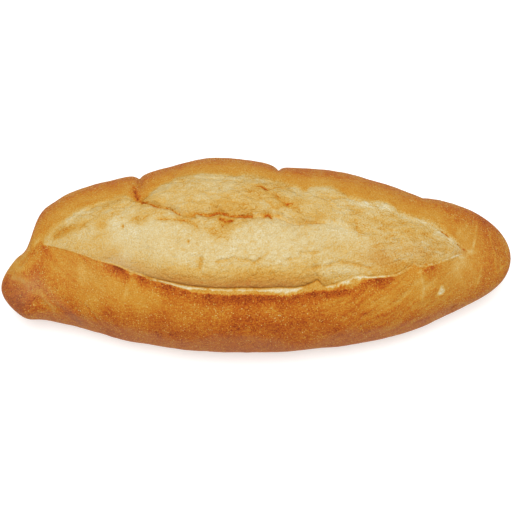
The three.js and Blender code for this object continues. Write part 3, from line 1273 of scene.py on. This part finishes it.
@dataclass
class Loaf:
    """The loaf: one closed mesh with its browning and some painted shade painted into it, and its crust.
    """

    form: LoafForm = field(default_factory=LoafForm)
    relief: Relief = field(default_factory=Relief)
    baking: Baking = field(default_factory=Baking)
    finish: BakedCrust = field(default_factory=BakedCrust)
    grain: Grain = field(default_factory=lambda: Grain(SEED))
    stations: int = 400
    tip_crowding: float = 6
    columns: dict[Band, int] = field(default_factory=lambda: {
        Band.BACK_CRUST: 26, Band.BACK_LOBE: 50, Band.LOBE: 90, Band.CREVICE: 4, Band.LEDGE: 8,
        Band.FRONT_CRUST: 46, Band.UNDER_FRONT: 12, Band.UNDER_BACK: 10,
    })
    lip_jag: Patches = Patches(strength=0.3, size=2.5, shift=(0, 50, 0))
    lip_teeth: tuple[Tooth, ...] = (Tooth(x=86.5, half_width=1.8, reach=1.8),)
    crease_line: tuple[tuple[float, float], ...] = (
        (-75, 75), *CREASE_LEFT, (-37, 89.2), *CREASE_MIDDLE,
        (6.8, 89.6), (14, 90), (21, 92.5), (30, 91.5), (38, 91.5), (56, 93), (70, 95),
    )
    crease_jag: Patches = Patches(strength=0.2, size=5, shift=(0, 90, 0))
    tear_wander: Patches = Patches(strength=0.3, size=3, shift=900, layers=2)
    crumb_crack_bake: float = 0.08
    crack_reach: float = 1.7
    tears: tuple[Tear, ...] = ()
    marks: tuple[Mark, ...] = ()
    streaks: tuple[Streaks, ...] = ()

    def build(self) -> bpy.types.Object:
        """Builds the mesh with its browning and some painted shade.

        Returns:
            The loaf's object, in metres.
        """
        surface = self.surface()
        opened = self.baking.opened(surface)
        skin = self.baking.skin_cover(surface)
        torn = opened * mix(1, self.relief.skin_calm, skin)
        bake = mix(self.baking.crust(surface), self.baking.crumb(surface, skin), opened)
        bake = bake + self.crumb_crack_bake * torn * self.relief.cracks(surface)
        height = self.relief.burst(surface) - self.relief.pinches(surface)
        height = height + self.relief.texture(surface, opened, skin)
        flour_and_shade = self.baking.flour_and_shade(surface)
        crack = np.zeros_like(bake)
        wander = surface.uneven(self.tear_wander)
        for tear in self.tears:
            distance = tear.distance(surface)
            away = distance + wander
            line = bell(away, tear.half_width)
            height = height + tear.rise * line
            bake = bake + tear.bake * line + tear.glow * bell(away, tear.glow_width)
            flour_and_shade = flour_and_shade + tear.flour_and_shade * line
            crack = np.maximum(crack, tear.crack * (1 - distance / self.crack_reach))
        for mark in self.marks:
            weight = mark.weight(surface)
            height = height + mark.rise * weight
            bake = bake + mark.bake * weight
            flour_and_shade = flour_and_shade + mark.flour_and_shade * weight
        for streaks in self.streaks:
            weight = streaks.weight(surface)
            height = height + streaks.rise * weight
            bake = bake + streaks.bake * weight
        points = self.form.points(surface.x, surface.angle, height)
        points[..., 1] -= (surface.points[..., 1].min() + surface.points[..., 1].max()) / 2
        return self.mesh(points, {
            "bake": np.clip(bake, 0, 1), "opened": opened, "torn": torn, "crack": crack,
            "flour_and_shade": np.clip(flour_and_shade, 0, 1), "vigour": self.baking.vigour(surface, bake, opened),
        })

    def surface(self) -> Surface:
        """Lays the grid of points over the smooth form, its columns along the burst's lines.

        Returns:
            The smooth surface.
        """
        even = np.linspace(1, -1, self.stations + 1)[:, None]
        x = self.form.half_length * mix(even, np.sin(math.pi / 2 * even), even ** self.tip_crowding)
        lines = self.lines(x)
        half_turn = np.full_like(x, math.pi)
        ends = (
            lines.rim, lines.crease, lines.crevice, lines.ledge, lines.lip,
            half_turn, 1.5 * half_turn, 2 * half_turn,
        )
        angles, shares, bands = [], [], []
        start = np.zeros_like(x)
        for band, end in zip(Band, ends):
            share = np.arange(self.columns[band]) / self.columns[band]
            angles.append(mix(start, end, share))
            shares.append(share)
            bands += [band] * len(share)
            start = end
        angle = np.concatenate(angles, axis=1)
        points = self.form.points(x, angle, 0.0)
        section = self.form.section(x)
        radius = np.hypot(points[..., 1] - section.centre, points[..., 2] - section.waist)
        return Surface(x, angle, np.concatenate(shares), bands, lines, points, radius, self.grain)

    def lines(self, x: Array) -> BurstLines:
        """Works out the burst's torn lines.

        Args:
            x: Places along the loaf.

        Returns:
            The lines at each place.
        """
        along = np.stack([x, np.zeros_like(x), np.zeros_like(x)], axis=-1)
        most_jag = self.lip_jag.strength
        jag = np.clip(self.lip_jag.over(along, self.grain), -most_jag, most_jag)
        shift = sum(tooth.reach * bell(x - tooth.x, tooth.half_width) for tooth in self.lip_teeth)
        places, turns = np.array(self.crease_line).T
        crease = np.interp(x, places, turns) + self.crease_jag.over(along, self.grain)
        return self.form.burst(x, shift, jag, crease)

    def mesh(self, points: Array, attributes: dict[str, Array]) -> bpy.types.Object:
        """Joins the grid of points into a closed mesh.

        Args:
            points: Points in millimetres by station and column, with a station at each tip.
            attributes: Numbers to paint on the points, by name.

        Returns:
            The mesh's object, in metres.
        """
        rows, columns = points.shape[0] - 2, points.shape[1]
        number = np.arange(rows * columns).reshape(rows, columns)
        beside = np.roll(number, -1, axis=1)
        quads = np.stack([number[:-1], number[1:], beside[1:], beside[:-1]], axis=-1).reshape(-1, 4)
        right_tip, left_tip = rows * columns, rows * columns + 1
        fans = [(right_tip, a, b) for a, b in zip(number[0].tolist(), beside[0].tolist())]
        fans += [(left_tip, b, a) for a, b in zip(number[-1].tolist(), beside[-1].tolist())]
        data = bpy.data.meshes.new("loaf_crust")
        spots = np.concatenate([points[1:-1].reshape(-1, 3), points[[0, -1], 0]]) * MM
        data.from_pydata(spots.tolist(), [], quads.tolist() + fans)
        data.polygons.foreach_set("use_smooth", [True] * len(data.polygons))
        for name, values in attributes.items():
            layer = data.attributes.new(name, "FLOAT", "POINT")
            flat = np.concatenate([values[1:-1].ravel(), values[[0, -1], 0]])
            layer.data.foreach_set("value", flat.astype(np.float32))
        data.update()
        piece = bpy.data.objects.new("loaf_crust", data)
        bpy.context.scene.collection.objects.link(piece)
        return piece

    def dress(self, piece: bpy.types.Object) -> None:
        """Gives the loaf its crust and lets it stand for the solid.

        Args:
            piece: The loaf's object.
        """
        piece.data.materials.append(self.finish.make())
        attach(piece, "root")
        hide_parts("loaf")


# Cracks, folds and streaks of this loaf, each with its line and its half width
TEARS = (
    # Along the crease and beside it
    Tear(((-68.5, 58.5), (-67.5, 68), (-66.3, 73.5), (-63.8, 77)), 0.9,
         rise=-0.9, bake=0.2, glow=0.1, glow_width=3, crack=0.85),
    Tear(CREASE_LEFT, 0.7, rise=-0.5, bake=0.12, crack=0.8),
    Tear(((-40, 89.3), (-34.5, 90)), 0.9, rise=-0.4, bake=0.22, crack=0.6),
    Tear(CREASE_MIDDLE, 0.7, rise=-0.6, bake=0.12, crack=0.92),
    Tear(((-20.3, 92.8), (-17.3, 93.7), (-13.5, 93.2)), 0.9,
         rise=-0.5, bake=0.28, glow=0.05, glow_width=2.5, crack=0.8),
    Tear(((-13.5, 93.2), (-9.8, 93.5), (-4.5, 91.8)), 0.6, rise=-0.4, bake=0.08, crack=0.55),
    Tear(((4.3, 89.8), (6.4, 88.8), (8.4, 90.3)), 0.8, rise=-0.5, bake=0.22, crack=0.9),
    Tear(((1.5, 72.3), (4, 71.8), (7.5, 74.3)), 0.7, rise=-0.5, bake=0.16, crack=0.85),
    Tear(((-55.6, 90), (-44.3, 91.3), (-38.3, 92.3), (-35.3, 94.2), (-33, 96.5)), 0.7,
         rise=-0.5, bake=0.14, glow=0.06, glow_width=2.5, crack=0.75),
    Tear(((0.8, 89), (6.8, 88.3), (14.3, 89)), 0.6, rise=-0.4, bake=0.08, crack=0.65),
    Tear(((2.2, 79), (6.5, 83), (9.8, 85)), 0.6, rise=-0.4, bake=0.1, crack=0.55),
    Tear(((8.3, 85.9), (12.8, 86.3)), 0.6, rise=-0.4, bake=0.08, crack=0.7),
    Tear(((13.2, 80.5), (17, 83.2), (21.5, 82.8)), 0.7,
         rise=-0.4, bake=0.1, glow=0.04, glow_width=2.5, crack=0.8),
    Tear(((12, 89.8), (16.5, 91), (21, 92.9), (29.5, 91.5), (38, 91.5)), 0.6,
         rise=-0.4, bake=0.08, crack=0.6),
    # On the lobe and at its foot
    Tear(((-32.5, 112.5), (-33, 118)), 1.1, rise=-0.6, bake=0.22),
    Tear(((-24, 114.8), (-18, 114.1), (-13.5, 112.2)), 0.7, rise=-0.6, bake=0.14, crack=0.55),
    Tear(((-12, 113.3), (-6, 113.7), (-3, 115)), 0.7, rise=-0.6, bake=0.12, crack=0.5),
    Tear(((-4.5, 115.9), (1.5, 112), (4.5, 109.7)), 0.7, rise=-0.6, bake=0.14, crack=0.55),
    Tear(((14.3, 113), (21.8, 111.6)), 0.7, rise=-0.6, bake=0.12, crack=0.5),
    Tear(((22.5, 109), (33, 108.4)), 0.7, rise=-0.6, bake=0.14, crack=0.55),
    Tear(((28.5, 117.3), (37.5, 116.5), (45, 114.2), (52.5, 115.9), (60.9, 118.6)), 0.9,
         rise=-0.8, bake=0.14, crack=0.55),
    # Towards the right end of the burst
    Tear(((97, 82), (103.2, 87.6)), 0.5, rise=-0.5, bake=0.06, crack=0.65),
    Tear(((104.5, 89), (107.5, 92.2), (109.6, 95.5)), 0.5, rise=-0.6, bake=0.1, crack=0.85),
    Tear(((112.5, 100.2), (119, 109.5)), 0.5, rise=-0.6, bake=0.08, crack=0.75),
    Tear(((65, 76), (70, 77)), 0.6, rise=-0.4, bake=0.2),
    Tear(((55.5, 89.5), (56.5, 97.5)), 0.9, rise=-0.5, bake=0.14, crack=0.5),
    # Pale lines over the right end
    Tear(((89.2, 121.5), (91.5, 137.5), (90.2, 150.5)), 0.7, rise=0.3, bake=-0.12),
    Tear(((122.2, 109.5), (125.5, 95), (128.5, 77.2)), 0.6, rise=0.3, bake=-0.18),
    Tear(((127.7, 129.7), (125.9, 147), (123.3, 159.8)), 0.6, rise=0.3, bake=-0.16),
    Tear(((136, 77.2), (136, 97.5), (137.6, 108.7), (136.8, 128.2), (138.4, 144.1)), 0.6,
         rise=0.3, bake=-0.15),
    Tear(((142, 73.1), (143.3, 93.4), (143.3, 106.9)), 0.6, rise=0.3, bake=-0.12),
    Tear(((138.4, 144.1), (142, 135.4), (145.1, 132.6)), 0.6, rise=0.3, bake=-0.12),
    Tear(((122.4, 81.4), (118.5, 87), (114.5, 93)), 0.6, rise=0.3, bake=-0.12),
    # Over the left end and its knob
    Tear(((-118, 82.5), (-110, 81.5), (-98, 76)), 1.2, rise=0.4, bake=-0.08),
    Tear(((-115, 89.5), (-106, 89.5), (-97, 88.5)), 2, rise=-0.6, bake=0.1),
    Tear(((-137, 76), (-132, 80), (-128, 92)), 1.0, rise=-0.9, bake=0.1, crack=0.5),
    Tear(((-141.5, 95), (-136, 102.5), (-124, 143), (-117.5, 161.5)), 1.1,
         rise=0.3, bake=-0.12, flour_and_shade=0.3),
    Tear(((-136.5, 99.2), (-130.2, 133.2), (-119.2, 156.5), (-118.2, 167)), 0.8,
         rise=0.2, bake=-0.09, flour_and_shade=0.3),
    Tear(((-127.5, 125), (-115, 153.5), (-108.2, 165.5), (-102.8, 176.8)), 3.2,
         rise=0.3, bake=0.08, flour_and_shade=0.45),
    Tear(((-112, 148), (-104, 161), (-99, 182)), 0.9, rise=-0.4, bake=0.07, crack=0.4),
    Tear(((-99.2, 152.8), (-95.2, 162.5), (-92, 171.2)), 0.9, rise=-0.5, bake=0.1, crack=0.45),
    # On the front crust
    Tear(((-71.5, 123), (-76.5, 142)), 0.9, rise=0.2, bake=-0.09),
    Tear(((39.8, 170.6), (44.3, 166.4)), 0.7, rise=0.3, bake=-0.14),
    Tear(((31, 143.5), (47.5, 137.5)), 0.9, rise=0.2, bake=-0.08),
    Tear(((35.5, 147.5), (45.5, 139.5)), 0.7, rise=-0.2, bake=0.06),
)

# Patches, spots and rolls of this loaf, each with its place, its turn and its half sizes
MARKS = (
    Mark(102.3, 147.3, 2.2, 2.2, bake=-0.38, edge=3),
    Mark(102.2, 142.6, 1.2, 2, bake=-0.3, edge=2),
    Mark(100.8, 149.2, 1.6, 1.1, bake=-0.22, edge=2),
    Mark(111.5, 127, 3.4, 1.6, tilt=-35, bake=-0.1),
    Mark(113.2, 133.5, 2, 2.6, bake=-0.08),
    Mark(115.4, 115.4, 2.4, 0.9, bake=-0.22, rise=0.3),
    Mark(121, 110, 3, 1.2, bake=-0.18),
    Mark(111.5, 177, 1.6, 0.9, tilt=-20, bake=0.4, rise=-1),
    Mark(-38.5, 103.5, 0.6, 0.6, bake=0.4, rise=-0.3),
    Mark(-75, 91.5, 0.7, 0.7, bake=0.5, rise=-0.3),
    Mark(5, 73, 4, 1.6, tilt=10, bake=0.16),
    Mark(13, 80, 9, 2.5, tilt=18, bake=0.1, rise=-0.3),
    Mark(-87, 90.5, 3, 1.6, bake=0.16),
    Mark(-67.5, 89, 8, 2.5, bake=0.04),
    # The back lobe's face over the crease, darker: partly baked, partly painted shade
    Mark(-17, 87, 13, 2.4, bake=0.06),
    Mark(6.6, 89.8, 2, 1, bake=0.1),
    Mark(-12, 87.5, 8, 2.6, bake=0.02),
    Mark(1, 78, 5, 2.5, bake=0.06),
    Mark(4, 65, 7, 2.5, bake=-0.09),
    Mark(2.3, 89.8, 6, 2, bake=0.07),
    Mark(-24, 99, 5, 3, bake=0.1),
    Mark(-1, 121, 12, 4, bake=0.1),
    Mark(46, 107, 12, 4, bake=0.1),
    Mark(67, 110, 10, 4, bake=0.07),
    Mark(22, 116, 6, 3, bake=0.09),
    Mark(-100, 126, 2.5, 7, bake=-0.15),
    Mark(-126, 84.5, 3, 1.4, bake=-0.2),
    Mark(-127, 98, 4, 2, bake=-0.08),
    Mark(-118, 165, 22, 8, tilt=45, bake=-0.06),
    Mark(43, 119.5, 16, 3, bake=-0.1, rise=0.8),
    # Painted shade above the pale roll
    Mark(33, 113, 7, 2, bake=0.06),
    Mark(-92, 138, 12, 7, bake=0.13),
    Mark(-72, 156, 18, 7, bake=0.07),
    Mark(-22, 141, 14, 6, bake=0.05),
    Mark(14, 158, 20, 8, bake=0.06),
    Mark(-113, 157, 9, 8, bake=0.06),
    Mark(-88, 96, 7, 3, bake=0.05),
    Mark(-113, 63, 8, 9, bake=-0.07),
    Mark(-113, 117, 10, 6, bake=-0.05),
    # Painted shade where the left knob meets the body
    Mark(-125, 112, 4, 8, bake=0.07),
    # Painted shade: the lower side of the left knob, darker where it turns down
    Mark(-136, 147, 11, 8, bake=0.19),
    Mark(38, 56, 20, 6, bake=-0.06),
    Mark(-134, 128, 9, 9, bake=0.03, flour_and_shade=0.4),
    Mark(-138, 140, 11, 13, bake=0.05, flour_and_shade=0.25),
    Mark(25.5, 170.7, 0.8, 0.8, bake=0.5, rise=-0.4),
    Mark(-115, 145, 9, 6, bake=0.07),
    Mark(-136.5, 86, 4, 2.5, bake=-0.12, rise=0.4),
    Mark(-145.5, 90, 2, 4, bake=0.14),
    Mark(78, 131, 7, 3.5, bake=-0.1),
    Mark(57, 146, 9, 5, bake=-0.09),
    Mark(89.5, 127, 4, 4, bake=-0.14),
    Mark(114, 121, 5, 4, bake=-0.1),
    Mark(43.5, 131, 5, 2, bake=0.2),
    Mark(43, 140, 8, 4, bake=-0.1),
    Mark(67, 112, 12, 6, bake=0.02, flour_and_shade=0.4),
    Mark(90, 108, 10, 5, flour_and_shade=0.35),
    Mark(114.5, 110, 5, 3, bake=0.04, flour_and_shade=0.3),
    Mark(92, 93, 8, 5, bake=0.08),
    Mark(-112, 95, 10, 3, bake=0.08),
    Mark(-119, 87, 8, 6, bake=0.06),
    Mark(-88, 84, 7, 3, bake=-0.08),
    Mark(-88, 72, 8, 2.5, bake=0.07),
    Mark(-88, 92, 6, 3, bake=0.06),
    Mark(133, 144, 8, 8, bake=0.05),
    Mark(-100, 122, 24, 14, bake=0.01, flour_and_shade=0.16),
    Mark(122, 125, 22, 24, flour_and_shade=0.16),
    Mark(-71.6, 121.6, 1.2, 0.9, bake=-0.3, rise=0.4),
    Mark(-67, 122.8, 1.8, 0.6, bake=-0.22, rise=0.3),
    Mark(-58.6, 125.7, 1, 0.8, bake=-0.3, rise=0.4),
    Mark(117, 90, 5, 7, bake=-0.09),
    Mark(139, 66, 14, 18, bake=0.17),
)

# Lines where this loaf was drawn out
STREAKS = (
    Streaks((Band.FRONT_CRUST,), Span(30, 50, 95, 115), slant=-34, length=28, width=3.5,
            rise=0.22, bake=0.12),
    Streaks((Band.FRONT_CRUST,), Span(-150, -135, -85, -65), slant=40, length=28, width=3.5,
            rise=0.15, bake=0.07),
    Streaks((Band.BACK_CRUST, Band.FRONT_CRUST), Span(108, 120, 150, 152), slant=80, length=26, width=4,
            rise=0.12, bake=0.06),
    Streaks((Band.LOBE,), Span(-62, -35, 40, 60), slant=-25, length=7, width=2.4,
            rise=-0.35, bake=0.06, crisp=True),
    Streaks((Band.BACK_LOBE,), Span(-22, -8, 20, 32), slant=50, length=6, width=1.3,
            rise=-0.25, bake=0.08, crisp=True),
    Streaks((Band.BACK_LOBE,), Span(30, 50, 118, 124), slant=25, length=14, width=1.8,
            rise=0.3, bake=-0.07),
    Streaks((Band.BACK_LOBE, Band.LOBE), Span(-126, -120, -85, -70), slant=-25, length=28, width=4,
            rise=0.4, bake=0.09),
)


@dataclass
class Studio:
    """A pale floor, soft light and the camera at the photograph's angle. Sizes in metres."""

    floor_size: float = 6
    floor_colour: str = "CACAC9"
    floor_roughness: float = 0.9
    floor_glow: float = 0.55
    sky: float = 0.4
    lamp_size: float = 1.1
    lamp_power: float = 24
    lamp_place: tuple[float, float, float] = (-0.06, -0.2, 1.4)
    azimuth: float = -4
    elevation: float = 60
    lens_mm: float = 85
    sensor_mm: float = 36
    distance: float = 0.7048
    aim: tuple[float, float, float] = (-0.0005, -0.0055, 0.034)

    def build(self) -> None:
        """Makes the floor, the lights and the camera."""
        self.lay_floor()
        self.hang_lights()
        self.set_camera()
        bpy.context.scene.view_settings.view_transform = "Standard"

    def lay_floor(self) -> None:
        """Lays a matt white light table under the loaf, which keeps shadows faint."""
        half = self.floor_size / 2
        corners = [(-half, -half, 0), (half, -half, 0), (half, half, 0), (-half, half, 0)]
        data = bpy.data.meshes.new("floor")
        data.from_pydata(corners, [], [(0, 1, 2, 3)])
        floor = bpy.data.objects.new("floor", data)
        bpy.context.scene.collection.objects.link(floor)
        # Matt white plastic lit from below: a bright, even ground
        material = bpy.data.materials.new("light_table")
        material.use_nodes = True
        tree = material.node_tree
        tree.nodes.clear()
        shader = add_node(tree, "BsdfPrincipled", inputs={
            "Base Color": linear(self.floor_colour), "Roughness": self.floor_roughness,
            "Emission Color": linear(WHITE), "Emission Strength": self.floor_glow,
        })
        add_node(tree, "OutputMaterial", inputs={"Surface": shader})
        data.materials.append(material)

    def hang_lights(self) -> None:
        """Hangs one wide lamp over the loaf in a bright even room."""
        world = bpy.data.worlds.new("room")
        world.use_nodes = True
        room = world.node_tree.nodes["Background"]
        room.inputs["Color"].default_value = linear(WHITE)
        room.inputs["Strength"].default_value = self.sky
        bpy.context.scene.world = world
        data = bpy.data.lights.new("overhead_lamp", "AREA")
        data.shape = "SQUARE"
        data.size = self.lamp_size
        data.energy = self.lamp_power
        lamp = bpy.data.objects.new("overhead_lamp", data)
        lamp.location = self.lamp_place
        lamp.rotation_euler = (-Vector(self.lamp_place)).to_track_quat("-Z", "Y").to_euler()
        bpy.context.scene.collection.objects.link(lamp)

    def set_camera(self) -> None:
        """Sets the camera where the photograph was taken from."""
        data = bpy.data.cameras.new("camera")
        data.lens = self.lens_mm
        data.sensor_width = self.sensor_mm
        camera = bpy.data.objects.new("camera", data)
        turn, climb = math.radians(self.azimuth), math.radians(self.elevation)
        level = math.cos(climb)
        away = Vector((math.sin(turn) * level, -math.cos(turn) * level, math.sin(climb)))
        camera.location = Vector(self.aim) + away * self.distance
        camera.rotation_euler = (-away).to_track_quat("-Z", "Y").to_euler()
        bpy.context.scene.collection.objects.link(camera)
        bpy.context.scene.camera = camera


def main() -> None:
    """Builds the studio and the loaf, and reports each piece."""
    logging.basicConfig(level=logging.INFO, format="%(name)s: %(message)s")
    Studio().build()
    log.info("studio is set")
    loaf = Loaf(tears=TEARS, marks=MARKS, streaks=STREAKS)
    piece = loaf.build()
    loaf.dress(piece)
    points, faces = len(piece.data.vertices), len(piece.data.polygons)
    log.info("%s has %d points and %d faces", piece.name, points, faces)


if __name__ == "__main__":
    main()
